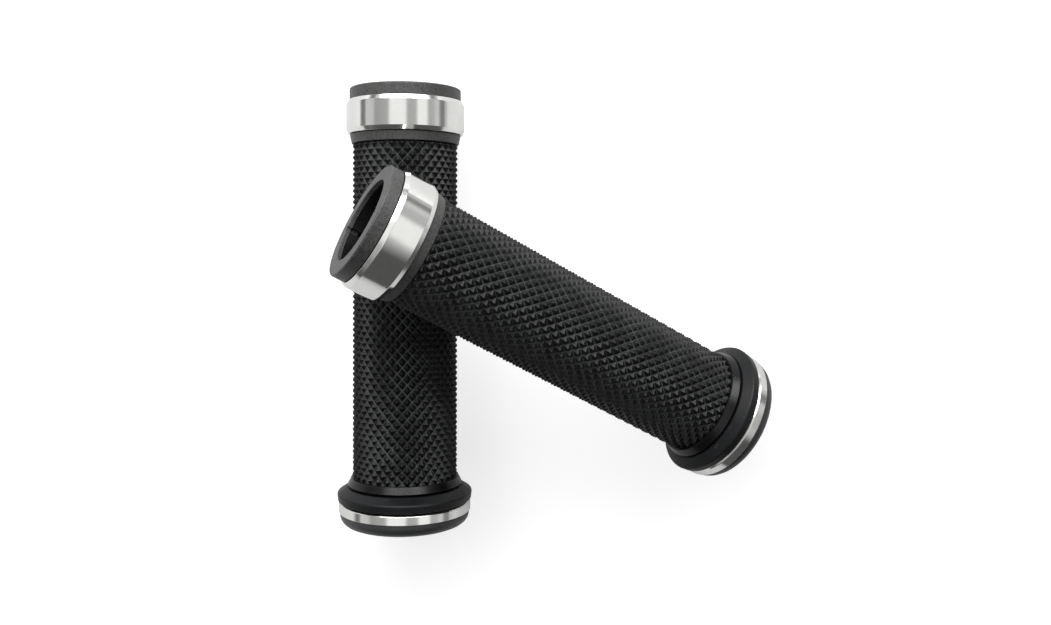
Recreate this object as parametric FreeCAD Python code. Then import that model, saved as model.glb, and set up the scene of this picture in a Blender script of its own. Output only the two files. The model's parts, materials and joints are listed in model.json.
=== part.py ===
"""A pair of bicycle handlebar grips with end plugs, one lying across the other on a table.

Each grip is drawn upright about its own Z axis, which runs from the open face (z = 0) to the domed
end cap, and is then laid down. The row frame has the table at z = 0 and its origin under the middle
of the pair. All sizes are millimetres and angles are degrees.
"""
import FreeCAD
import Part
import math
import os

V = FreeCAD.Vector

# Handlebar and the core tube that slides over it
bar_radius = 11.1
bar_clearance = 0.05
core_wall = 1.35
relief_depth = 0.3          # past the end plug's tip the core's bore is eased
relief_lead = 0.7           # how far short of that tip the easing starts
slot_width = 1.5            # two slots let the clamp close the core on the bar
slot_run = 2.0              # how far the slots run on past the band

# Pieces stacked along the core, from the open face
fit_gap = 0.05              # radial gap between pieces that are pushed or bonded together
seam = 0.15                 # axial gap between neighbouring rings
lip_width = 1.2             # end lips of the collar and the flange, which cover the core's ends
lip_step = 0.4              # how much wider than the core's bore those lips are
collar_radius = 15.9
collar_width = 3.4
collar_round = 0.5
notch_width = 1.3
notch_depth = 0.45
band_radius = 16.85
band_width = 9.55
bevel_width = 1.2
bevel_drop = 0.6
spacer_radius = 15.8
spacer_end_radius = 15.25
spacer_width = 2.6
sleeve_radius = 15.0        # over the tips of the knurling
knurl_length = 95.2
hem_radius = 15.35          # the plain hem widens from here to the flange
hem_end_radius = 16.4
hem_width = 2.0

# Outer flange
groove_width = 0.6
groove_radius = 14.0
flange_neck_radius = 16.6
flange_radius = 19.3
flange_cone = 1.7
rim_width = 2.2
rim_taper = 0.25
crease_round = 0.7
rim_round = 0.35

# End plug: domed cap, polished ring, expander sleeve, wedge nut and bolt
plug_gap = 0.35
ring_radius = 18.85
ring_width = 2.75
ring_wall = 2.5
ring_bevel = 0.45
dome_radius = 18.5
dome_height = 4.4
dome_edge = 3.6             # height of the dome's corner, before it is rounded
dome_round = 3.0
spigot_clearance = 0.25
spigot_length = 5.5
expander_radius = 8.9
expander_length = 20.0
expander_slots = 2          # each slot cuts right across, so this many make twice as many fingers
expander_slot_width = 1.2
expander_slot_length = 14.0
wedge_head_radius = 8.6
wedge_head = 2.5
wedge_radius = 7.5
wedge_length = 8.0
wedge_slope = 0.25          # radius lost per millimetre of length
wedge_travel = 2.4
wedge_standoff = 3.0        # rest distance from the wedge's head to the expander
end_margin = 0.1            # radial gap that is left when the wedge is fully drawn in

# Screws
bolt_radius = 2.5
bolt_length = 30.0
bolt_head_radius = 4.25
bolt_head_height = 5.0
bolt_socket = 4.0           # across flats
bolt_socket_depth = 2.6
head_recess = 0.8
head_clearance = 0.25
screw_radius = 2.0
screw_seat = 0.1            # what the screw's tip leaves free above the core
screw_socket = 2.0
screw_socket_depth = 2.0
screw_sink = 0.25
thread_gap = 0.05
hole_gap = 0.1

# How the pair lies
contact_gap = 0.3           # between the two grips
upper_yaw = -29.3           # of the upper grip's axis, from +X
cross_on_lower = 42.25      # from each open face to the place where the axes cross in plan
cross_on_upper = 10.15
lower_roll = -35.0          # about each grip's axis, from having a core slot uppermost
upper_roll = -22.0

# Derived sizes
core_bore = bar_radius + bar_clearance
core_radius = core_bore + core_wall
lip_bore = core_bore + lip_step
seat_bore = core_radius + fit_gap
band_start = collar_width + seam
band_end = band_start + band_width
band_middle = (band_start + band_end) / 2
spacer_start = band_end + seam
spacer_end = spacer_start + spacer_width
sleeve_start = spacer_end + seam
knurl_end = sleeve_start + knurl_length
hem_end = knurl_end + hem_width
flange_start = hem_end + groove_width
crease = flange_start + flange_cone
flange_end = crease + rim_width
core_start = lip_width + seam
core_end = flange_end - lip_width - seam
ring_start = flange_end + plug_gap
ring_end = ring_start + ring_width
ring_bore = ring_radius - ring_wall
cap_shoulder = ring_bore - fit_gap
dome_top = ring_end + dome_height
dome_corner = ring_end + dome_edge
crown_rise = dome_top - dome_corner
crown_radius = (dome_radius ** 2 + crown_rise ** 2) / (2 * crown_rise)
crown_centre = dome_top - crown_radius
round_middle = dome_radius - dome_round
round_centre = crown_centre + math.sqrt((crown_radius - dome_round) ** 2 - round_middle ** 2)
spigot_radius = core_bore - spigot_clearance
spigot_start = flange_end - spigot_length
expander_end = spigot_start - seam
expander_start = expander_end - expander_length
head_top = dome_top - head_recess
head_seat = head_top - bolt_head_height
bolt_tip = head_seat - bolt_length
wedge_head_end = expander_start - wedge_standoff
wedge_start = wedge_head_end - wedge_head
wedge_end = wedge_head_end + wedge_length
bore_end = min(wedge_start, bolt_tip) - relief_lead
screw_tip = core_radius + screw_seat
screw_top = band_radius - screw_sink


def turned(outline):
    """Solid of revolution about Z from (z, radius) corners."""
    corners = [V(radius, 0, z) for z, radius in outline]
    face = Part.Face(Part.makePolygon(corners + corners[:1]))
    return face.revolve(V(0, 0, 0), V(0, 0, 1), 360)


def rounded(solid, z, radius, fillet):
    """Fillet the circular edge of that height and radius."""
    edges = [
        edge
        for edge in solid.Edges
        if isinstance(edge.Curve, Part.Circle)
        and abs(edge.Curve.Center.z - z) < 1e-6
        and abs(edge.Curve.Radius - radius) < 1e-6
    ]
    return solid.makeFillet(fillet, edges)


def slot(width, reach, start, end, angle=0.0):
    """A bar across the axis, to cut two opposite slots."""
    bar = Part.makeBox(2 * reach, width, end - start, V(-reach, -width / 2, start))
    bar.rotate(V(0, 0, 0), V(0, 0, 1), angle)
    return bar


def hexagon(across_flats, start, end):
    corner = across_flats / math.sqrt(3)
    points = [V(corner, 0, start)]
    for index in range(1, 7):
        turn = math.radians(60 * index)
        points.append(V(corner * math.cos(turn), corner * math.sin(turn), start))
    return Part.Face(Part.makePolygon(points)).extrude(V(0, 0, end - start))


def across(shape):
    """Lay a shape that was drawn about +Z along -Y, at the middle of the band."""
    shape.rotate(V(0, 0, 0), V(1, 0, 0), 90)
    shape.translate(V(0, 0, band_middle))
    return shape


def core_tube():
    body = turned([
        (core_start, core_bore),
        (core_start, core_radius),
        (core_end, core_radius),
        (core_end, core_bore + relief_depth),
        (bore_end, core_bore + relief_depth),
        (bore_end, core_bore),
    ])
    return body.cut(slot(slot_width, core_radius + 1, core_start - 1, band_end + slot_run))


def end_collar():
    ring = turned([
        (0, lip_bore),
        (0, collar_radius),
        (collar_width, collar_radius),
        (collar_width, seat_bore),
        (lip_width, seat_bore),
        (lip_width, lip_bore),
    ])
    ring = rounded(ring, 0, collar_radius, collar_round)
    return ring.cut(slot(notch_width, lip_bore + notch_depth, -1, lip_width + 1))


def clamp_band():
    edge_radius = band_radius - bevel_drop
    ring = turned([
        (band_start, seat_bore),
        (band_start, edge_radius),
        (band_start + bevel_width, band_radius),
        (band_end - bevel_width, band_radius),
        (band_end, edge_radius),
        (band_end, seat_bore),
    ])
    hole = Part.makeCylinder(screw_radius + thread_gap, band_radius + 1)
    return ring.cut(across(hole))


def clamp_screw():
    shank = Part.makeCylinder(screw_radius, screw_top - screw_tip, V(0, 0, screw_tip))
    socket = hexagon(screw_socket, screw_top - screw_socket_depth, screw_top + 1)
    return across(shank.cut(socket))


def spacer_ring():
    return turned([
        (spacer_start, seat_bore),
        (spacer_start, spacer_radius),
        (spacer_end, spacer_end_radius),
        (spacer_end, seat_bore),
    ])


def grip_sleeve():
    return turned([
        (sleeve_start, seat_bore),
        (sleeve_start, sleeve_radius),
        (knurl_end, sleeve_radius),
        (knurl_end, hem_radius),
        (hem_end, hem_end_radius),
        (hem_end, seat_bore),
    ])


def outer_flange():
    ring = turned([
        (hem_end + fit_gap, seat_bore),
        (hem_end + fit_gap, groove_radius),
        (flange_start, groove_radius),
        (flange_start, flange_neck_radius),
        (crease, flange_radius),
        (flange_end, flange_radius - rim_taper),
        (flange_end, lip_bore),
        (flange_end - lip_width, lip_bore),
        (flange_end - lip_width, seat_bore),
    ])
    ring = rounded(ring, crease, flange_radius, crease_round)
    return rounded(ring, flange_end, flange_radius - rim_taper, rim_round)


def trim_ring():
    return turned([
        (ring_start, ring_bore),
        (ring_start, ring_radius - ring_bevel),
        (ring_start + ring_bevel, ring_radius),
        (ring_end, ring_radius),
        (ring_end, ring_bore),
    ])


def end_cap():
    """The dome is an arc from the cap's rounded corner to its crown, over a shoulder and a spigot."""
    half_turn = math.asin(dome_radius / crown_radius) / 2
    middle_radius = crown_radius * math.sin(half_turn)
    middle = V(middle_radius, 0, crown_centre + crown_radius * math.cos(half_turn))
    corners = [
        (dome_top, 0),
        (spigot_start, 0),
        (spigot_start, spigot_radius),
        (ring_start, spigot_radius),
        (ring_start, cap_shoulder),
        (ring_end + fit_gap, cap_shoulder),
        (ring_end + fit_gap, dome_radius),
        (dome_corner, dome_radius),
    ]
    sides = Part.makePolygon([V(radius, 0, z) for z, radius in corners])
    crown = Part.Arc(V(dome_radius, 0, dome_corner), middle, V(0, 0, dome_top)).toShape()
    face = Part.Face(Part.Wire(sides.Edges + [crown]))
    cap = face.revolve(V(0, 0, 0), V(0, 0, 1), 360)
    recess_floor = head_seat - fit_gap
    bolt_hole = Part.makeCylinder(bolt_radius + hole_gap, dome_top, V(0, 0, 0))
    recess = Part.makeCylinder(
        bolt_head_radius + head_clearance, dome_top - recess_floor + 1, V(0, 0, recess_floor)
    )
    return rounded(cap.cut(bolt_hole).cut(recess), dome_corner, dome_radius, dome_round)


def expander_sleeve():
    """Fingers that the wedge spreads; their taper is the wedge's, moved out by its travel."""
    spread = wedge_slope * wedge_travel + end_margin
    mouth = wedge_radius - wedge_slope * wedge_standoff + spread
    throat_depth = wedge_length - wedge_standoff + wedge_travel + end_margin
    throat = mouth - wedge_slope * throat_depth
    bore = bolt_radius + head_clearance
    body = turned([
        (expander_start, mouth),
        (expander_start, expander_radius),
        (expander_end, expander_radius),
        (expander_end, bore),
        (expander_start + throat_depth, bore),
        (expander_start + throat_depth, throat),
    ])
    for index in range(expander_slots):
        body = body.cut(slot(
            expander_slot_width,
            expander_radius + 1,
            expander_start - 1,
            expander_start + expander_slot_length,
            angle=180 * index / expander_slots,
        ))
    return body


def wedge_nut():
    bore = bolt_radius + thread_gap
    return turned([
        (wedge_start, bore),
        (wedge_start, wedge_head_radius),
        (wedge_head_end, wedge_head_radius),
        (wedge_head_end, wedge_radius),
        (wedge_end, wedge_radius - wedge_slope * wedge_length),
        (wedge_end, bore),
    ])


def plug_bolt():
    shank = Part.makeCylinder(bolt_radius, bolt_length, V(0, 0, bolt_tip))
    head = Part.makeCylinder(bolt_head_radius, bolt_head_height, V(0, 0, head_seat))
    socket = hexagon(bolt_socket, head_top - bolt_socket_depth, head_top + 1)
    return shank.fuse(head).removeSplitter().cut(socket)


PIECES = {
    "core_tube": core_tube,
    "end_collar": end_collar,
    "clamp_band": clamp_band,
    "clamp_screw": clamp_screw,
    "spacer_ring": spacer_ring,
    "grip_sleeve": grip_sleeve,
    "outer_flange": outer_flange,
    "trim_ring": trim_ring,
    "end_cap": end_cap,
    "expander_sleeve": expander_sleeve,
    "wedge_nut": wedge_nut,
    "plug_bolt": plug_bolt,
}

# The circles that can touch the table or the other grip, as (z, radius)
WIDE_CIRCLES = [
    (collar_round, collar_radius),
    (band_start + bevel_width, band_radius),
    (band_end - bevel_width, band_radius),
    (spacer_start, spacer_radius),
    *[(sleeve_start + step, sleeve_radius) for step in range(31)],
    (crease, flange_radius),
    (flange_end, flange_radius - rim_taper),
    (ring_end, ring_radius),
    *[
        (
            round_centre + dome_round * math.sin(math.radians(turn)),
            round_middle + dome_round * math.cos(math.radians(turn)),
        )
        for turn in range(41)
    ],
]


def direction(yaw, pitch):
    """Unit vector along a grip that dips by pitch below the horizontal."""
    level = math.cos(math.radians(pitch))
    turn = math.radians(yaw)
    return V(level * math.cos(turn), level * math.sin(turn), -math.sin(math.radians(pitch)))


def table_height(pitch):
    """Height of a grip's open-face centre above the table that its far end rests on."""
    dip = math.sin(math.radians(pitch))
    level = math.cos(math.radians(pitch))
    return max(z * dip + radius * level for z, radius in WIDE_CIRCLES)


def laid(start, yaw, pitch, roll):
    """Placement that carries an upright grip to its open-face centre, direction and roll."""
    along = direction(yaw, pitch)
    up = (V(0, 0, 1) - along * along.z).normalize()
    tilt = FreeCAD.Rotation(up, along.cross(up), along, "ZXY")
    spin = FreeCAD.Rotation(V(0, 0, 1), roll)
    return FreeCAD.Placement(start, tilt.multiply(spin))


# The lower grip lies along -Y on its band and its flange, so its far end is a little higher.
lower_pitch = -math.degrees(math.asin(
    (flange_radius - band_radius) / (crease - (band_end - bevel_width))
))
lower_yaw = -90.0
lower_along = direction(lower_yaw, lower_pitch)
lower_start = V(0, 0, table_height(lower_pitch))


def upper_start(pitch):
    """Open-face centre of the upper grip, which crosses above the lower grip's axis."""
    along = direction(upper_yaw, pitch)
    crossing = lower_start + lower_along * cross_on_lower
    return V(
        crossing.x - along.x * cross_on_upper,
        crossing.y - along.y * cross_on_upper,
        table_height(pitch),
    )


def space_between(pitch):
    """Smallest gap from the upper grip's wide circles to the lower grip's sleeve."""
    frame = laid(upper_start(pitch), upper_yaw, pitch, 0)
    spaces = []
    for z, radius in WIDE_CIRCLES:
        for degree in range(90, 271, 2):
            turn = math.radians(degree)
            point = frame.multVec(V(radius * math.cos(turn), radius * math.sin(turn), z))
            offset = point - lower_start
            spaces.append(offset.cross(lower_along).Length - sleeve_radius)
    return min(spaces)


def leaning_pitch():
    """The dip at which the upper grip just clears the lower one, by bisection."""
    low, high = 2.0, 40.0
    for _ in range(40):
        middle = (low + high) / 2
        if space_between(middle) < contact_gap:
            low = middle
        else:
            high = middle
    return high


upper_pitch = leaning_pitch()
placements = {
    "lower": laid(lower_start, lower_yaw, lower_pitch, lower_roll),
    "upper": laid(upper_start(upper_pitch), upper_yaw, upper_pitch, upper_roll),
}
solids = {}
for grip, placement in placements.items():
    for piece, make in PIECES.items():
        solid = make()
        solid.Placement = placement.multiply(solid.Placement)
        solids[grip + "_" + piece] = solid

box = Part.makeCompound(list(solids.values())).optimalBoundingBox(False, False)
origin = V((box.XMin + box.XMax) / 2, (box.YMin + box.YMax) / 2, 0)

os.makedirs("parts", exist_ok=True)
for name, solid in solids.items():
    solid.translate(-origin)
    solid.exportStep("parts/" + name + ".step")
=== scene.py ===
"""A pair of knurled bicycle handlebar grips with end plugs, one leaning across the other.

Each grip's pieces are drawn in millimetres about the grip's own axis, which runs from its open face
(z = 0) to its domed cap, and are then carried to where the frame holds that grip.
"""
import bpy
import bmesh
import json
import math
from mathutils import Euler, Matrix, Vector


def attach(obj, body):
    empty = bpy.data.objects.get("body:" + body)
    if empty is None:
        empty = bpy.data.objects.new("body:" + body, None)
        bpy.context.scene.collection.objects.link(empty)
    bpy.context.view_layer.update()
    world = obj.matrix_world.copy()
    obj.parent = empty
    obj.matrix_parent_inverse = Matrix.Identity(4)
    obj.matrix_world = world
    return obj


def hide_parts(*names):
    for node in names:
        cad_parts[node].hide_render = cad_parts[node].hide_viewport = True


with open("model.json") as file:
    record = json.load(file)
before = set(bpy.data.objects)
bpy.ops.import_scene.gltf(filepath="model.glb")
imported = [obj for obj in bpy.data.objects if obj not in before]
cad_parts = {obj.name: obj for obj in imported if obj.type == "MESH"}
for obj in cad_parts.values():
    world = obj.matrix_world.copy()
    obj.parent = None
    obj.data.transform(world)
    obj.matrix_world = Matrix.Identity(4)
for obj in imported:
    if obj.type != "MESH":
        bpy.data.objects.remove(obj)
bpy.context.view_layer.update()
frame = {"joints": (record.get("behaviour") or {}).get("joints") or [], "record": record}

MM = 0.001
GRIPS = ("lower", "upper")

# Places along a grip's axis, from its open face
CORE_START, CORE_END = 1.35, 116.35
BORE_END = 85.85
LIP_WIDTH = 1.2
COLLAR_END = 3.4
BAND_START, BAND_END = 3.55, 13.1
BAND_MIDDLE = (BAND_START + BAND_END) / 2
SPACER_START, SPACER_END = 13.25, 15.85
SLEEVE_START = 16.0
KNURL_END = 111.2
HEM_END = 113.2
FLANGE_SEAT = 113.25
FLANGE_START = 113.8
FLANGE_CREASE = 115.5
FLANGE_END = 117.7
RING_START, RING_END = 118.05, 120.8
DOME_CORNER, DOME_TOP = 124.4, 125.2
SPIGOT_START = 112.2
EXPANDER_START, EXPANDER_END = 92.05, 112.05
WEDGE_START, WEDGE_HEAD_END, WEDGE_END = 86.55, 89.05, 97.05
BOLT_TIP, BOLT_SEAT, BOLT_TOP = 89.4, 119.4, 124.4

# Radii
CORE_BORE, CORE_RELIEF, CORE_RADIUS = 11.15, 11.45, 12.5
LIP_BORE = 11.55
SEAT_BORE = 12.55
COLLAR_RADIUS = 15.9
BAND_RADIUS, BAND_EDGE_RADIUS = 16.85, 16.25
SPACER_RADIUS, SPACER_END_RADIUS = 15.8, 15.25
TIP_RADIUS = 15.0
HEM_RADIUS, HEM_END_RADIUS = 15.35, 16.4
GROOVE_RADIUS = 14.0
FLANGE_NECK_RADIUS, FLANGE_RADIUS, FLANGE_END_RADIUS = 16.6, 19.3, 19.05
RING_RADIUS, RING_BORE = 18.85, 16.35
CAP_SHOULDER = 16.3
DOME_RADIUS = 18.5
SPIGOT_RADIUS = 10.9
EXPANDER_RADIUS, EXPANDER_MOUTH, EXPANDER_THROAT, EXPANDER_BORE = 8.9, 7.45, 5.575, 2.75
WEDGE_HEAD_RADIUS, WEDGE_RADIUS, WEDGE_END_RADIUS, WEDGE_BORE = 8.6, 7.5, 5.5, 2.55
BOLT_RADIUS, BOLT_HEAD_RADIUS, BOLT_HOLE, HEAD_RECESS = 2.5, 4.25, 2.6, 4.5
SCREW_RADIUS, SCREW_HOLE = 2.0, 2.05
SCREW_TIP, SCREW_TOP = 12.6, 16.6

# Roundings of edges, from those that are only just broken to those that a finger feels
CRISP, SLIGHT, FINE, BROKEN, EASED, SOFT = 0.08, 0.1, 0.12, 0.15, 0.2, 0.3
BAND_ROUND = RIM_ROUND = 0.35
BOLT_ROUND = 0.4
COLLAR_ROUND = MOUTH_ROUND = 0.5
CREASE_ROUND = 0.7
DOME_ROUND = 3.0

# Other sizes
FIT_GAP = 0.05              # between pieces that are pushed together
BEVEL = 1.2
RING_BEVEL = 0.45
THROAT_DEPTH = 7.5
NOTCH_WIDTH, NOTCH_DEPTH = 1.3, 0.45
SLOT_WIDTH = 1.5
SLOT_RUN = 2.0
FINGER_SLOT_WIDTH, FINGER_SLOT_LENGTH = 1.2, 14.0
BOLT_SOCKET, BOLT_SOCKET_DEPTH = 4.0, 2.6
SCREW_SOCKET, SCREW_SOCKET_DEPTH = 2.0, 2.0

# Knurling: square pyramids that stand on their corners, between narrow flat-bottomed grooves
KNURL_AROUND = 32
KNURL_ROWS = 30
KNURL_DEPTH = 0.95
GROOVE_WIDTH = 0.2
RIDGE_WIDTH = 0.16
TIP_SHARE = 0.12
KNURL_OFFSET = 0.37         # of half a row, so that neither end cuts through a line of corners

# Fineness of the meshes
SEGMENTS, PLUG_SEGMENTS, SCREW_SEGMENTS = 192, 96, 48
ARC_STEPS = 6
DOME_STEPS = 12
DOME_MARGIN = 0.2           # the dome's curve starts this far inside its rounding
SHARP = math.radians(40)    # a corner that turns more than this stays sharp
OVERRUN = 1                 # how far a cutter stands out of what it cuts
FINGER_REACH = 10           # half the length of the cutter for the finger slots
NO_RADIUS = 1e-6
RIM_TOLERANCE = 1e-4


def linear(hex_colour):
    """Scene-linear colour from an sRGB hex value."""
    channels = [int(hex_colour[i:i + 2], 16) / 255 for i in (1, 3, 5)]
    return [c / 12.92 if c <= 0.04045 else ((c + 0.055) / 1.055) ** 2.4 for c in channels] + [1.0]


def grip_matrix(grip):
    """Carries millimetres about a grip's own axis into the row frame, from its bore and its clamp screw."""
    bore = next(m for m in frame["record"]["mounts"] if m["name"] == grip + "_bar_bore")
    screw = next(j for j in frame["joints"] if j["name"] == grip + "_clamp_screw_turn")
    along = -Vector(bore["axis"])
    side = -Vector(screw["axis"])
    side = (side - along * side.dot(along)).normalized()
    start = Vector(bore["pos_m"]) - along * BAND_MIDDLE * MM
    turn = Matrix((side.cross(along), side, along)).transposed().to_4x4()
    return Matrix.Translation(start) @ turn @ Matrix.Scale(MM, 4)


PLACES = {grip: grip_matrix(grip) for grip in GRIPS}


# ---- Shapes ----

def rounded(corners):
    """Points of an outline whose corners are (z, radius) or (z, radius, rounding)."""
    points = []
    for index, corner in enumerate(corners):
        here = Vector(corner[:2])
        if len(corner) == 2:
            points.append(here)
            continue
        back = (Vector(corners[index - 1][:2]) - here).normalized()
        ahead = (Vector(corners[(index + 1) % len(corners)][:2]) - here).normalized()
        half = back.angle(ahead) / 2
        centre = here + (back + ahead).normalized() * corner[2] / math.sin(half)
        first = here + back * corner[2] / math.tan(half) - centre
        last = here + ahead * corner[2] / math.tan(half) - centre
        for step in range(ARC_STEPS + 1):
            points.append(centre + first.lerp(last, step / ARC_STEPS).normalized() * corner[2])
    return points


def strip(mesh, ring, following):
    """Faces between two closed rings of as many corners."""
    for index in range(len(ring)):
        near, far = ring[index - 1], ring[index]
        corners = list(dict.fromkeys((near, far, following[index], following[index - 1])))
        if len(corners) > 2:
            mesh.faces.new(corners)


def finished(mesh):
    """The mesh with its faces turned outwards and only its true corners left sharp."""
    bmesh.ops.recalc_face_normals(mesh, faces=mesh.faces)
    result = bpy.data.meshes.new("shape")
    mesh.to_mesh(result)
    mesh.free()
    result.shade_smooth()
    result.set_sharp_from_angle(angle=SHARP)
    return result


def turned(corners, segments=SEGMENTS):
    """Mesh of an outline turned about the grip's axis."""
    mesh = bmesh.new()
    rings = []
    for z, radius in rounded(corners):
        if radius < NO_RADIUS:
            rings.append([mesh.verts.new((0, 0, z))] * segments)
            continue
        turns = [2 * math.pi * step / segments for step in range(segments)]
        rings.append([mesh.verts.new((radius * math.cos(t), radius * math.sin(t), z)) for t in turns])
    for ring, following in zip(rings, rings[1:] + rings[:1]):
        strip(mesh, ring, following)
    return finished(mesh)


def prism(sides, across_flats, start, end):
    """A solid bar along the axis with this many flats."""
    radius = across_flats / 2 / math.cos(math.pi / sides)
    return turned([(start, 0), (start, radius), (end, radius), (end, 0)], sides)


def slot(width, reach, start, end, angle=0.0):
    """A bar across the axis, to cut two opposite slots."""
    mesh = bmesh.new()
    bmesh.ops.create_cube(mesh, size=1)
    size = Matrix.Diagonal((2 * reach, width, end - start, 1))
    middle = Matrix.Translation((0, 0, (start + end) / 2))
    mesh.transform(Matrix.Rotation(angle, 4, "Z") @ middle @ size)
    return finished(mesh)


def across(mesh):
    """Lays a mesh drawn about the axis out sideways, at the middle of the band, as the clamp screw lies."""
    mesh.transform(Matrix.Translation((0, 0, BAND_MIDDLE)) @ Matrix.Rotation(math.pi / 2, 4, "X"))
    return mesh


def cut(body, *tools):
    """The body's mesh with each tool's shape taken out of it."""
    work = bpy.data.objects.new("work", body)
    bpy.context.collection.objects.link(work)
    used = [work]
    for tool in tools:
        cutter = bpy.data.objects.new("cutter", tool)
        bpy.context.collection.objects.link(cutter)
        used.append(cutter)
        modifier = work.modifiers.new("cut", "BOOLEAN")
        modifier.operation = "DIFFERENCE"
        modifier.solver = "EXACT"
        modifier.object = cutter
    graph = bpy.context.evaluated_depsgraph_get()
    result = bpy.data.meshes.new_from_object(work.evaluated_get(graph))
    for item in used:
        bpy.data.objects.remove(item)
    result.shade_smooth()
    result.set_sharp_from_angle(angle=SHARP)
    return result


def core_tube():
    body = turned([
        (CORE_START, CORE_BORE),
        (CORE_START, CORE_RADIUS),
        (CORE_END, CORE_RADIUS),
        (CORE_END, CORE_RELIEF),
        (BORE_END, CORE_RELIEF),
        (BORE_END, CORE_BORE),
    ])
    return cut(body, slot(SLOT_WIDTH, CORE_RADIUS + OVERRUN, CORE_START - OVERRUN, BAND_END + SLOT_RUN))


def end_collar():
    ring = turned([
        (0, LIP_BORE, EASED),
        (0, COLLAR_RADIUS, COLLAR_ROUND),
        (COLLAR_END, COLLAR_RADIUS, BROKEN),
        (COLLAR_END, SEAT_BORE),
        (LIP_WIDTH, SEAT_BORE),
        (LIP_WIDTH, LIP_BORE),
    ])
    return cut(ring, slot(NOTCH_WIDTH, LIP_BORE + NOTCH_DEPTH, -OVERRUN, LIP_WIDTH + OVERRUN))


def clamp_band():
    ring = turned([
        (BAND_START, SEAT_BORE),
        (BAND_START, BAND_EDGE_RADIUS, FINE),
        (BAND_START + BEVEL, BAND_RADIUS, BAND_ROUND),
        (BAND_END - BEVEL, BAND_RADIUS, BAND_ROUND),
        (BAND_END, BAND_EDGE_RADIUS, FINE),
        (BAND_END, SEAT_BORE),
    ])
    return cut(ring, across(prism(SCREW_SEGMENTS, 2 * SCREW_HOLE, 0, BAND_RADIUS + OVERRUN)))


def clamp_screw():
    body = turned([
        (SCREW_TIP, 0),
        (SCREW_TIP, SCREW_RADIUS, SOFT),
        (SCREW_TOP, SCREW_RADIUS, BROKEN),
        (SCREW_TOP, 0),
    ], SCREW_SEGMENTS)
    socket = prism(6, SCREW_SOCKET, SCREW_TOP - SCREW_SOCKET_DEPTH, SCREW_TOP + OVERRUN)
    return across(cut(body, socket))


def spacer_ring():
    return turned([
        (SPACER_START, SEAT_BORE),
        (SPACER_START, SPACER_RADIUS, BROKEN),
        (SPACER_END, SPACER_END_RADIUS, EASED),
        (SPACER_END, SEAT_BORE),
    ])


def pyramid(mesh, corner, row, column):
    """One pyramid and its share of the groove floor; corner gives the floor's shared crossings."""
    half_round = math.pi / KNURL_AROUND
    half_row = (KNURL_END - SLEEVE_START) / KNURL_ROWS / 2
    half_width = half_round * TIP_RADIUS
    inset = 1 - GROOVE_WIDTH / 2 * math.hypot(half_width, half_row) / (half_width * half_row)
    points = ((1, 0), (0, 1), (-1, 0), (0, -1))
    crossings = [corner(column + across_, row + along_) for across_, along_ in points]
    rings = []
    for share, height in ((inset, 0), (TIP_SHARE, KNURL_DEPTH)):
        side = share * math.hypot(half_width, half_row)
        chamfer = RIDGE_WIDTH / math.sqrt(2) / side
        radius = TIP_RADIUS - KNURL_DEPTH + height
        ring = []
        for index, point in enumerate(points):
            for neighbour in (points[index - 1], points[(index + 1) % 4]):
                x, y = (share * (p + (n - p) * chamfer) for p, n in zip(point, neighbour))
                turn = (column + x) * half_round
                z = SLEEVE_START + (row + KNURL_OFFSET + y) * half_row
                ring.append(mesh.verts.new((radius * math.cos(turn), radius * math.sin(turn), z)))
        rings.append(ring)
    floor, tip = rings
    strip(mesh, floor, tip)
    mesh.faces.new(tip)
    for index in range(4):
        mesh.faces.new((crossings[index], floor[2 * index], floor[2 * index + 1]))
        mesh.faces.new((crossings[index - 1], floor[2 * index - 1], floor[2 * index], crossings[index]))


def grip_sleeve():
    """The lattice of pyramids is cut square at both ends, then closed by the hem and the bore."""
    mesh = bmesh.new()
    half_row = (KNURL_END - SLEEVE_START) / KNURL_ROWS / 2
    crossings = {}

    def corner(column, row):
        key = (column % (2 * KNURL_AROUND), row)
        if key not in crossings:
            turn = key[0] * math.pi / KNURL_AROUND
            radius = TIP_RADIUS - KNURL_DEPTH
            z = SLEEVE_START + (row + KNURL_OFFSET) * half_row
            crossings[key] = mesh.verts.new((radius * math.cos(turn), radius * math.sin(turn), z))
        return crossings[key]

    for row in range(-2, 2 * KNURL_ROWS + 2):
        for column in range(row % 2, 2 * KNURL_AROUND, 2):
            pyramid(mesh, corner, row, column)
    loops = []
    for z, outwards in ((SLEEVE_START, -1), (KNURL_END, 1)):
        bmesh.ops.bisect_plane(
            mesh,
            geom=mesh.verts[:] + mesh.edges[:] + mesh.faces[:],
            dist=NO_RADIUS,
            plane_co=(0, 0, z),
            plane_no=(0, 0, outwards),
            clear_outer=True,
        )
        rim = [v for v in mesh.verts if v.is_boundary and abs(v.co.z - z) < RIM_TOLERANCE]
        loops.append(sorted(rim, key=lambda v: math.atan2(v.co.y, v.co.x)))
    start, end = loops
    hem = rounded([
        (KNURL_END, HEM_RADIUS, FINE),
        (HEM_END, HEM_END_RADIUS, FINE),
        (HEM_END, SEAT_BORE),
        (SLEEVE_START, SEAT_BORE),
    ])
    ring = end
    for z, radius in hem:
        spokes = [Vector((v.co.x, v.co.y, 0)).normalized() * radius for v in end]
        following = [mesh.verts.new((s.x, s.y, z)) for s in spokes]
        strip(mesh, ring, following)
        ring = following
    strip(mesh, ring, start)
    return finished(mesh)


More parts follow.
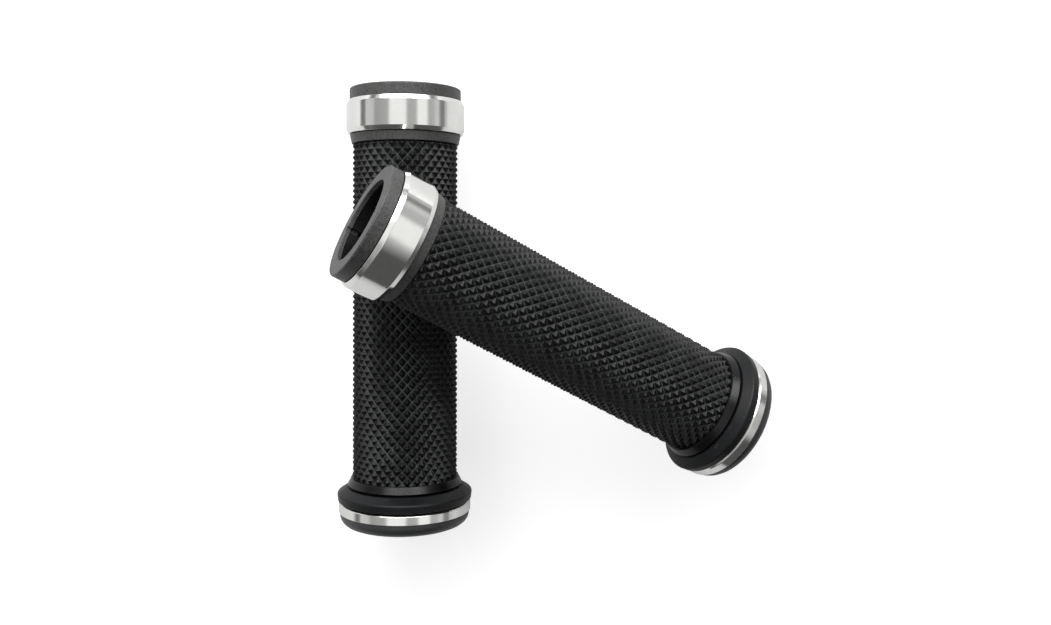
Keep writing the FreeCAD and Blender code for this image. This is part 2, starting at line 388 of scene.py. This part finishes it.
def outer_flange():
    return turned([
        (FLANGE_SEAT, SEAT_BORE),
        (FLANGE_SEAT, GROOVE_RADIUS),
        (FLANGE_START, GROOVE_RADIUS),
        (FLANGE_START, FLANGE_NECK_RADIUS, EASED),
        (FLANGE_CREASE, FLANGE_RADIUS, CREASE_ROUND),
        (FLANGE_END, FLANGE_END_RADIUS, RIM_ROUND),
        (FLANGE_END, LIP_BORE, EASED),
        (FLANGE_END - LIP_WIDTH, LIP_BORE),
        (FLANGE_END - LIP_WIDTH, SEAT_BORE),
    ])


def trim_ring():
    return turned([
        (RING_START, RING_BORE),
        (RING_START, RING_RADIUS - RING_BEVEL, CRISP),
        (RING_START + RING_BEVEL, RING_RADIUS, EASED),
        (RING_END, RING_RADIUS, CRISP),
        (RING_END, RING_BORE),
    ])


def end_cap():
    """A shallow dome over a shoulder and a spigot, with a recess for the bolt's head."""
    bulge = DOME_TOP - DOME_CORNER
    curve = (DOME_RADIUS ** 2 + bulge ** 2) / (2 * bulge)
    inner = DOME_RADIUS - DOME_ROUND - DOME_MARGIN
    dome = []
    for step in range(DOME_STEPS + 1):
        radius = inner + (HEAD_RECESS - inner) * step / DOME_STEPS
        dome.append((DOME_TOP - curve + math.sqrt(curve ** 2 - radius ** 2), radius))
    dome[-1] += (BROKEN,)
    return turned([
        (RING_END + FIT_GAP, CAP_SHOULDER),
        (RING_END + FIT_GAP, DOME_RADIUS, SLIGHT),
        (DOME_CORNER, DOME_RADIUS, DOME_ROUND),
        *dome,
        (BOLT_SEAT - FIT_GAP, HEAD_RECESS),
        (BOLT_SEAT - FIT_GAP, BOLT_HOLE),
        (SPIGOT_START, BOLT_HOLE),
        (SPIGOT_START, SPIGOT_RADIUS, SOFT),
        (RING_START, SPIGOT_RADIUS),
        (RING_START, CAP_SHOULDER),
    ])


def expander_sleeve():
    body = turned([
        (EXPANDER_START, EXPANDER_MOUTH),
        (EXPANDER_START, EXPANDER_RADIUS, MOUTH_ROUND),
        (EXPANDER_END, EXPANDER_RADIUS, EASED),
        (EXPANDER_END, EXPANDER_BORE),
        (EXPANDER_START + THROAT_DEPTH, EXPANDER_BORE),
        (EXPANDER_START + THROAT_DEPTH, EXPANDER_THROAT),
    ])
    ends = (EXPANDER_START - OVERRUN, EXPANDER_START + FINGER_SLOT_LENGTH)
    return cut(body, *(slot(FINGER_SLOT_WIDTH, FINGER_REACH, *ends, angle) for angle in (0, math.pi / 2)))


def wedge_nut():
    return turned([
        (WEDGE_START, WEDGE_BORE, SOFT),
        (WEDGE_START, WEDGE_HEAD_RADIUS, SOFT),
        (WEDGE_HEAD_END, WEDGE_HEAD_RADIUS, SOFT),
        (WEDGE_HEAD_END, WEDGE_RADIUS),
        (WEDGE_END, WEDGE_END_RADIUS, EASED),
        (WEDGE_END, WEDGE_BORE),
    ], PLUG_SEGMENTS)


def plug_bolt():
    body = turned([
        (BOLT_TIP, 0),
        (BOLT_TIP, BOLT_RADIUS, BOLT_ROUND),
        (BOLT_SEAT, BOLT_RADIUS),
        (BOLT_SEAT, BOLT_HEAD_RADIUS, SLIGHT),
        (BOLT_TOP, BOLT_HEAD_RADIUS, BOLT_ROUND),
        (BOLT_TOP, 0),
    ], PLUG_SEGMENTS)
    return cut(body, prism(6, BOLT_SOCKET, BOLT_TOP - BOLT_SOCKET_DEPTH, BOLT_TOP + OVERRUN))


# ---- Finishes ----

def add(tree, kind, *values, **named):
    """Adds a node. The values fill its sockets in order, and names with a capital fill them by name, with _
    for a space; other names are its settings. A node given as a value stands for its first output."""
    node = tree.nodes.new("ShaderNode" + kind)
    for name, value in named.items():
        if name[0].islower():
            setattr(node, name, value)
    sockets = [socket for socket in node.inputs if socket.enabled]
    by_name = {socket.name: socket for socket in sockets}
    pairs = list(zip(sockets, values))
    pairs += [(by_name[name.replace("_", " ")], value) for name, value in named.items() if name[0].isupper()]
    for socket, value in pairs:
        if isinstance(value, bpy.types.Node):
            value = next(output for output in value.outputs if output.enabled)
        if isinstance(value, bpy.types.NodeSocket):
            tree.links.new(value, socket)
        else:
            socket.default_value = linear(value) if isinstance(value, str) else value
    return node


def new_finish(name):
    """A material with its empty node tree, and each point's place in millimetres about the grip's axis."""
    material = bpy.data.materials.new(name)
    material.use_nodes = True
    tree = material.node_tree
    tree.nodes.clear()
    return material, tree, add(tree, "Attribute", attribute_name="about_axis").outputs["Vector"]


def distance_out(tree, place):
    """Distance from the grip's axis."""
    flat = add(tree, "VectorMath", place, (1, 1, 0), operation="MULTIPLY")
    return add(tree, "VectorMath", flat, operation="LENGTH")


def tool_marks(tree, place, spacing):
    """Rings left by a lathe tool, this many millimetres apart, that waver a little in depth."""
    along = add(tree, "SeparateXYZ", place).outputs["Z"]
    feed = add(tree, "Math", distance_out(tree, place), along, operation="ADD")
    line = add(tree, "CombineXYZ", feed)
    coarse = add(tree, "TexNoise", line, 1 / (3 * spacing), 2.0, 0.6)
    fine = add(tree, "TexNoise", line, 1 / spacing, 4.0, 0.6)
    return add(tree, "Math", coarse, fine, operation="ADD")


def compression_moulded_rubber():
    """Black natural rubber, moulded with its knurling: a dull skin, with sharp crests rubbed paler by
    handling, and a bloom of dust in patches of the grooves. The plain hem kept the mould's polish."""
    material, tree, place = new_finish("compression_moulded_rubber")
    out = distance_out(tree, place)
    # Handling wears patches about 9 mm wide, and dust gathers in patches about 5 mm wide
    handled = add(tree, "TexNoise", place, 1 / 9, 3.0, 0.6)
    dusty = add(tree, "TexNoise", place, 1 / 5, 3.0, 0.6)
    # A real grain of 0.05 mm is drawn 0.2 mm wide so that it shows
    grain = add(tree, "TexNoise", place, 1 / 0.2, 4.0, 0.6)
    flank = add(tree, "Mix", handled, "#070707", "#0e0e0f", data_type="RGBA")
    dust = add(tree, "MapRange", dusty, 0.4, 0.6, 0.0, 1.0)
    bloom = add(tree, "Mix", dust, "#202122", "#454748", data_type="RGBA")
    height = add(tree, "MapRange", out, TIP_RADIUS - KNURL_DEPTH, TIP_RADIUS - 0.8 * KNURL_DEPTH, 0.0, 1.0)
    up_the_flank = add(tree, "Mix", height, bloom, flank, data_type="RGBA")
    crest = add(tree, "MapRange", out, TIP_RADIUS - 0.3, TIP_RADIUS, 0.0, 1.0)
    wear = add(tree, "MapRange", handled, 0.4, 0.62, 0.35, 1.0)
    rubbed = add(tree, "Math", crest, wear, operation="MULTIPLY")
    knurling = add(tree, "Mix", rubbed, up_the_flank, "#242526", data_type="RGBA")
    along = add(tree, "SeparateXYZ", place).outputs["Z"]
    hem = add(tree, "MapRange", along, KNURL_END - 0.05, KNURL_END + 0.05, 0.0, 1.0)
    dull = add(tree, "MapRange", grain, 0.3, 0.7, 0.34, 0.48)
    skin = add(
        tree,
        "BsdfPrincipled",
        Base_Color=add(tree, "Mix", hem, knurling, "#0a0a0a", data_type="RGBA"),
        Roughness=add(tree, "Math", hem, -0.2, dull, operation="MULTIPLY_ADD"),
        IOR=1.52,
        Specular_IOR_Level=0.25,
        Normal=add(tree, "Bump", Height=grain, Distance=0.03 * MM),
    )
    add(tree, "OutputMaterial", skin)
    return material


def injection_moulded_rubber():
    """Smooth black rubber from a polished mould: satin, with faint flow marks and specks of dust."""
    material, tree, place = new_finish("injection_moulded_rubber")
    # Flow marks are about 6 mm wide and specks 0.5 mm; a grain of 0.04 mm is drawn 0.16 mm wide to show
    flow = add(tree, "TexNoise", place, 1 / 6, 3.0, 0.6)
    dust = add(tree, "TexNoise", place, 1 / 0.5, 1.0, 0.6)
    grain = add(tree, "TexNoise", place, 1 / 0.16, 4.0, 0.6)
    black = add(tree, "Mix", flow, "#0d0e0f", "#151618", data_type="RGBA")
    specks = add(tree, "MapRange", dust, 0.74, 0.78, 0.0, 1.0)
    waves = add(tree, "Bump", Height=flow, Distance=0.05 * MM)
    skin = add(
        tree,
        "BsdfPrincipled",
        Base_Color=add(tree, "Mix", specks, black, "#55565a", data_type="RGBA"),
        Roughness=add(tree, "MapRange", flow, 0.3, 0.7, 0.36, 0.5),
        IOR=1.52,
        Specular_IOR_Level=0.24,
        Normal=add(tree, "Bump", Height=grain, Distance=0.012 * MM, Normal=waves),
    )
    add(tree, "OutputMaterial", skin)
    return material


def spark_eroded_nylon():
    """Black nylon from a spark-eroded mould: an even grey-black sheen with a fine dry grain, paler on
    the edges that rub."""
    material, tree, place = new_finish("spark_eroded_nylon")
    # Spark craters of 0.06 mm are drawn 0.45 mm wide so that they show; rubbed patches are about 4 mm wide
    craters = add(tree, "TexNoise", place, 1 / 0.45, 5.0, 0.6)
    patches = add(tree, "TexNoise", place, 1 / 4, 3.0, 0.6)
    pitted = add(tree, "MapRange", craters, 0.38, 0.62, 0.0, 1.0)
    black = add(tree, "Mix", pitted, "#222222", "#4f4f4e", data_type="RGBA")
    rubbed = add(tree, "MapRange", patches, 0.35, 0.75, 0.0, 0.5)
    skin = add(
        tree,
        "BsdfPrincipled",
        Base_Color=add(tree, "Mix", rubbed, black, "#4e4e4d", data_type="RGBA"),
        Roughness=add(tree, "MapRange", craters, 0.3, 0.7, 0.4, 0.58),
        IOR=1.53,
        Normal=add(tree, "Bump", Height=craters, Distance=0.08 * MM),
    )
    add(tree, "OutputMaterial", skin)
    return material


def polished_aluminium():
    """Aluminium turned on a lathe and buffed: bright and mirror-like, with faint rings from the tool and
    hairline scuffs that soften the reflections."""
    material, tree, place = new_finish("polished_aluminium")
    # A feed of 0.05 mm is drawn as rings 0.15 mm apart so that they show
    rings = tool_marks(tree, place, 0.15)
    # Haze left by the buff is about 3 mm wide, and scuffs from handling about 0.7 mm
    haze = add(tree, "TexNoise", place, 1 / 3, 3.0, 0.6)
    handled = add(tree, "TexNoise", place, 1 / 0.7, 6.0, 0.6)
    scuffs = add(tree, "MapRange", handled, 0.6, 0.72, 0.06, 0.18)
    skin = add(
        tree,
        "BsdfPrincipled",
        Base_Color=add(tree, "Mix", haze, "#e4e3e0", "#f1f1ef", data_type="RGBA"),
        Metallic=1.0,
        Roughness=add(tree, "Math", rings, 0.06, scuffs, operation="MULTIPLY_ADD"),
        Normal=add(tree, "Bump", Height=rings, Distance=0.0015 * MM),
    )
    add(tree, "OutputMaterial", skin)
    return material


def satin_moulded_plastic():
    """Black ABS from a finely blasted mould: a soft even sheen over the dome, with faint sink and a few
    hairline scratches."""
    material, tree, place = new_finish("satin_moulded_plastic")
    # A blasted grain of 0.05 mm is drawn 0.2 mm wide so that it shows; sink marks are about 8 mm wide
    grain = add(tree, "TexNoise", place, 1 / 0.2, 4.0, 0.6)
    sink = add(tree, "TexNoise", place, 1 / 8, 1.0, 0.6)
    # Hairlines are drawn 0.35 mm wide and some 6 mm long
    stretched = add(tree, "VectorMath", place, (1.0, 0.06, 1.0), operation="MULTIPLY")
    hairlines = add(tree, "TexNoise", stretched, 1 / 0.35, 6.0, 0.6)
    black = add(tree, "Mix", sink, "#2e2f30", "#3a3b3c", data_type="RGBA")
    scratched = add(tree, "MapRange", hairlines, 0.68, 0.72, 0.0, 1.0)
    hollows = add(tree, "Bump", Height=sink, Distance=0.06 * MM)
    skin = add(
        tree,
        "BsdfPrincipled",
        Base_Color=add(tree, "Mix", scratched, black, "#505152", data_type="RGBA"),
        Roughness=add(tree, "MapRange", grain, 0.3, 0.7, 0.34, 0.46),
        IOR=1.54,
        Specular_IOR_Level=0.4,
        Normal=add(tree, "Bump", Height=grain, Distance=0.012 * MM, Normal=hollows),
    )
    add(tree, "OutputMaterial", skin)
    return material


def glass_filled_nylon(name, low, high):
    """Black nylon filled with short glass fibre: dull and slightly streaked, as the fibres reach the
    surface along the flow."""
    material, tree, place = new_finish(name)
    along_flow = add(tree, "VectorMath", place, (1.0, 1.0, 0.15), operation="MULTIPLY")
    # Fibres 0.01 mm thick are drawn as streaks 0.2 mm wide so that they show
    fibres = add(tree, "TexNoise", along_flow, 1 / 0.2, 5.0, 0.6)
    skin = add(
        tree,
        "BsdfPrincipled",
        Base_Color=add(tree, "Mix", fibres, low, high, data_type="RGBA"),
        Roughness=add(tree, "MapRange", fibres, 0.3, 0.7, 0.3, 0.5),
        IOR=1.54,
        Specular_IOR_Level=0.3,
        Normal=add(tree, "Bump", Height=fibres, Distance=0.02 * MM),
    )
    add(tree, "OutputMaterial", skin)
    return material


def blacked_steel():
    """Steel blacked in hot salts and oiled: dark and mottled, with bare metal starting to show where a
    key has rubbed it."""
    material, tree, place = new_finish("blacked_steel")
    # Blotches from the salts are about 1.2 mm wide, and bare spots about 0.5 mm
    blotches = add(tree, "TexNoise", place, 1 / 1.2, 5.0, 0.6)
    spots = add(tree, "TexNoise", place, 1 / 0.5, 6.0, 0.6)
    blacked = add(tree, "Mix", blotches, "#2b2c30", "#414247", data_type="RGBA")
    worn = add(tree, "MapRange", spots, 0.62, 0.7, 0.0, 1.0)
    skin = add(
        tree,
        "BsdfPrincipled",
        Base_Color=add(tree, "Mix", worn, blacked, "#8b8b8c", data_type="RGBA"),
        Metallic=1.0,
        Roughness=add(tree, "MapRange", blotches, 0.3, 0.7, 0.28, 0.45),
        Normal=add(tree, "Bump", Height=blotches, Distance=0.01 * MM),
    )
    add(tree, "OutputMaterial", skin)
    return material


def turned_aluminium():
    """Aluminium left as the lathe cut it: duller than the polished rings, with plain rings from the tool."""
    material, tree, place = new_finish("turned_aluminium")
    # A feed of 0.1 mm is drawn as rings 0.25 mm apart so that they show; its tarnish is about 2 mm wide
    rings = tool_marks(tree, place, 0.25)
    tarnish = add(tree, "TexNoise", place, 1 / 2, 3.0, 0.6)
    skin = add(
        tree,
        "BsdfPrincipled",
        Base_Color=add(tree, "Mix", tarnish, "#c4c3c0", "#d6d6d3", data_type="RGBA"),
        Metallic=1.0,
        Roughness=add(tree, "MapRange", rings, 0.6, 1.4, 0.26, 0.4),
        Normal=add(tree, "Bump", Height=rings, Distance=0.008 * MM),
    )
    add(tree, "OutputMaterial", skin)
    return material


FINISHES = {
    # The core tube's copy of the glass-filled nylon is painted far darker than the expander's, as painted
    # shade of the bore that it lines
    "core_nylon": glass_filled_nylon("glass_filled_nylon", "#050505", "#0e0e0f"),
    "collar_nylon": spark_eroded_nylon(),
    "polished_aluminium": polished_aluminium(),
    "black_steel": blacked_steel(),
    "grip_rubber": compression_moulded_rubber(),
    "flange_rubber": injection_moulded_rubber(),
    "cap_plastic": satin_moulded_plastic(),
    "expander_nylon": glass_filled_nylon("expander_glass_nylon", "#2c2d2f", "#3f4144"),
    "wedge_alloy": turned_aluminium(),
}


# ---- Pieces in their places ----

# Each shape, with the ending of the body that it rides on and the finish that it takes
PIECES = [
    (core_tube, "grip", "core_nylon"),
    (end_collar, "grip", "collar_nylon"),
    (clamp_band, "grip", "polished_aluminium"),
    (clamp_screw, "clamp_screw", "black_steel"),
    (spacer_ring, "grip", "collar_nylon"),
    (grip_sleeve, "grip", "grip_rubber"),
    (outer_flange, "grip", "flange_rubber"),
    (trim_ring, "plug", "polished_aluminium"),
    (end_cap, "plug", "cap_plastic"),
    (expander_sleeve, "plug", "expander_nylon"),
    (wedge_nut, "wedge", "wedge_alloy"),
    (plug_bolt, "plug_bolt", "black_steel"),
]

for make, body, slot_name in PIECES:
    node = make.__name__
    shape = make()
    shape.materials.append(FINISHES[slot_name])
    about_axis = shape.attributes.new("about_axis", "FLOAT_VECTOR", "POINT")
    about_axis.data.foreach_set("vector", [c for corner in shape.vertices for c in corner.co])
    for grip in GRIPS:
        mesh = shape.copy()
        mesh.transform(PLACES[grip])
        piece = bpy.data.objects.new(f"{grip}_{node}_finished", mesh)
        bpy.context.collection.objects.link(piece)
        evened = piece.modifiers.new("even_shading", "WEIGHTED_NORMAL")
        evened.keep_sharp = True
        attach(piece, f"{grip}_{body}")
        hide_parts(f"{grip}_{node}")


# ---- Floor, light and camera ----

FLOOR_SIZE = 4.0
SHADE_LIFT = 0.75           # how far the floor is lifted towards white near the grips
SHADE_START, SHADE_END = 0.12, 0.4      # over this distance from the middle, the lift rises to white
MIRROR_SHARE = 0.35         # of that, what shiny pieces see


def pale_board():
    """Matt board, lifted to white where it is seen, that keeps a soft shadow near the grips."""
    material = bpy.data.materials.new("pale_board")
    material.use_nodes = True
    tree = material.node_tree
    tree.nodes.clear()
    away = add(tree, "VectorMath", add(tree, "TexCoord").outputs["Object"], operation="LENGTH")
    level = add(tree, "MapRange", away, SHADE_START, SHADE_END, SHADE_LIFT, 1.0)
    path = add(tree, "LightPath")
    looked_at = add(tree, "Math", path.outputs["Is Camera Ray"], path.outputs["Is Transmission Ray"])
    seen = add(
        tree, "Math", path.outputs["Is Glossy Ray"], MIRROR_SHARE, looked_at, operation="MULTIPLY_ADD"
    )
    lift = add(tree, "Math", seen, level, operation="MULTIPLY")
    glow = add(tree, "Emission", "#ffffff", lift)
    add(tree, "OutputMaterial", add(tree, "AddShader", add(tree, "BsdfDiffuse", "#bcbcbc"), glow))
    return material


floor_mesh = bpy.data.meshes.new("floor")
half_floor = FLOOR_SIZE / 2
floor_mesh.from_pydata(
    [(x, y, 0) for x, y in ((-half_floor, -half_floor), (half_floor, -half_floor),
                            (half_floor, half_floor), (-half_floor, half_floor))],
    [],
    [(0, 1, 2, 3)],
)
floor = bpy.data.objects.new("floor", floor_mesh)
floor_mesh.materials.append(pale_board())
bpy.context.collection.objects.link(floor)


def lamp(name, place, target, size, power):
    """A rectangular soft lamp that faces its target; the first of its two sizes runs level."""
    light = bpy.data.lights.new(name, "AREA")
    light.shape = "RECTANGLE"
    light.size, light.size_y = size
    light.energy = power
    item = bpy.data.objects.new(name, light)
    bpy.context.collection.objects.link(item)
    item.location = place
    item.rotation_euler = (Vector(target) - Vector(place)).to_track_quat("-Z", "Y").to_euler()
    return item


lamp("far_softbox", place=(0.0, 0.6, 0.42), target=(0, 0, 0.02), size=(1.0, 0.5), power=8.2)
left = lamp("left_softbox", place=(-0.42, 0.22, 0.52), target=(0, 0, 0.03), size=(0.5, 0.5), power=2.4)
left.visible_glossy = False

# What shiny pieces mirror of the studio: how light it is at each angle from overhead, towards +X
STUDIO_PANELS = [
    (-180, "#d8d8d8"),
    (-92, "#d8d8d8"),
    (-89, "#7a7a7a"),
    (-80, "#7e7e7e"),
    (-77, "#d4d4d4"),
    (-60, "#cccccc"),
    (-56, "#a4a4a4"),
    (-30, "#b2b2b2"),
    (-24, "#ffffff"),
    (4, "#ffffff"),
    (9, "#b0b0b0"),
    (25, "#b8b8b8"),
    (29, "#ffffff"),
    (46, "#ffffff"),
    (50, "#b2b2b2"),
    (62, "#bcbcbc"),
    (66, "#d4d4d4"),
    (72, "#d0d0d0"),
    (75, "#8e8e8e"),
    (84, "#7c7c7c"),
    (90, "#d4d4d4"),
    (180, "#d4d4d4"),
]

world = bpy.data.worlds.new("studio")
bpy.context.scene.world = world
world.use_nodes = True
tree = world.node_tree
tree.nodes.clear()
path = add(tree, "LightPath")
way = add(tree, "SeparateXYZ", add(tree, "TexCoord").outputs["Generated"])
angle = add(tree, "Math", way.outputs["X"], way.outputs["Z"], operation="ARCTAN2")
panels = add(tree, "ValToRGB", add(tree, "MapRange", angle, -math.pi, math.pi, 0.0, 1.0))
stops = panels.color_ramp.elements
for degrees, colour in STUDIO_PANELS[1:-1]:
    stops.new(degrees / 360 + 0.5)
for stop, (degrees, colour) in zip(stops, STUDIO_PANELS):
    stop.position = degrees / 360 + 0.5
    stop.color = linear(colour)
near_side = add(tree, "MapRange", way.outputs["Y"], -0.6, -0.3, 1.0, 0.0)
mirrored = add(tree, "Mix", near_side, panels, "#555555", data_type="RGBA")
lighting = add(tree, "Background", "#ffffff", 0.1)
around = add(tree, "MixShader", path.outputs["Is Glossy Ray"], lighting, add(tree, "Background", mirrored))
looked_at = add(tree, "Math", path.outputs["Is Camera Ray"], path.outputs["Is Transmission Ray"])
add(tree, "OutputWorld", add(tree, "MixShader", looked_at, around, add(tree, "Background", "#ffffff")))

# The camera's place is given from the lower grip's open face, and its turn about X, Y and Z in degrees
OPEN_FACE = PLACES["lower"].translation
CAMERA_PLACE = Vector((23.9, -38.14, 287.44))
CAMERA_TURN = (-2.157, -2.152, 0.215)

camera_data = bpy.data.cameras.new("camera")
camera_data.lens = 33.86
camera_data.shift_y = -0.05
camera_data.clip_start, camera_data.clip_end = 0.01, 20
camera = bpy.data.objects.new("camera", camera_data)
bpy.context.collection.objects.link(camera)
camera.location = OPEN_FACE + CAMERA_PLACE * MM
camera.rotation_euler = Euler(map(math.radians, CAMERA_TURN))
bpy.context.scene.camera = camera
bpy.context.scene.view_settings.view_transform = "Standard"

bpy.context.view_layer.update()
